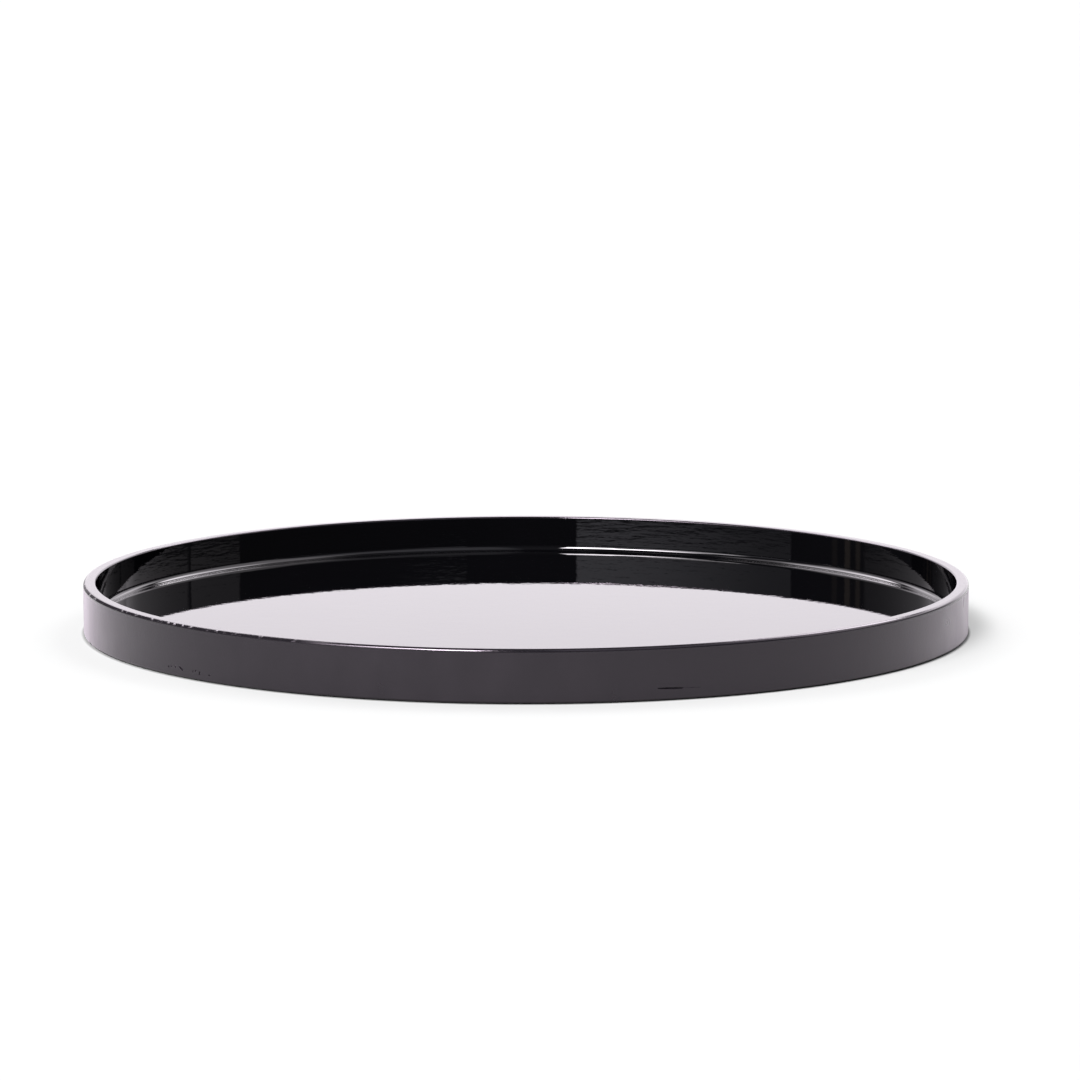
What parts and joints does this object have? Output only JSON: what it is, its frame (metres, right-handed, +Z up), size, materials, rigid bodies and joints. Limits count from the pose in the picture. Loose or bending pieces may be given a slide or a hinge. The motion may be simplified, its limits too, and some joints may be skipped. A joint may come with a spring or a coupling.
{
  "type": "round serving tray",
  "caption": "Round serving tray with a low upright rim, a mirror-gloss black lacquered well and a satin black outer wall, standing on a thin felt base.",
  "frame": {"origin": "centre of the resting face, on the table", "axes": "+Z up along the tray's axis; the tray is round, so +X is any direction across it"},
  "size_m": [0.3999, 0.4, 0.0231],
  "materials": {
    "board": "bare board, hidden under lacquer",
    "bent_ply": "bare bent veneer, hidden under lacquer",
    "ground": "matt levelled filler, hidden under lacquer",
    "bead": "bare wood strip, hidden under lacquer",
    "gloss_lacquer": "mirror gloss black lacquer",
    "satin_lacquer": "satin black lacquer",
    "sealer": "matt black sealing coat",
    "felt": "short-napped black felt"
  },
  "bodies": {
    "root": {"base_board": "board", "rim_ply_inner": "bent_ply", "rim_ply_middle": "bent_ply", "rim_ply_outer": "bent_ply", "floor_ground": "ground", "corner_bead": "bead", "floor_lacquer": "gloss_lacquer", "wall_lacquer": "gloss_lacquer", "satin_coat": "satin_lacquer", "underside_seal": "sealer", "felt_base": "felt"}
  },
  "joints": []
}
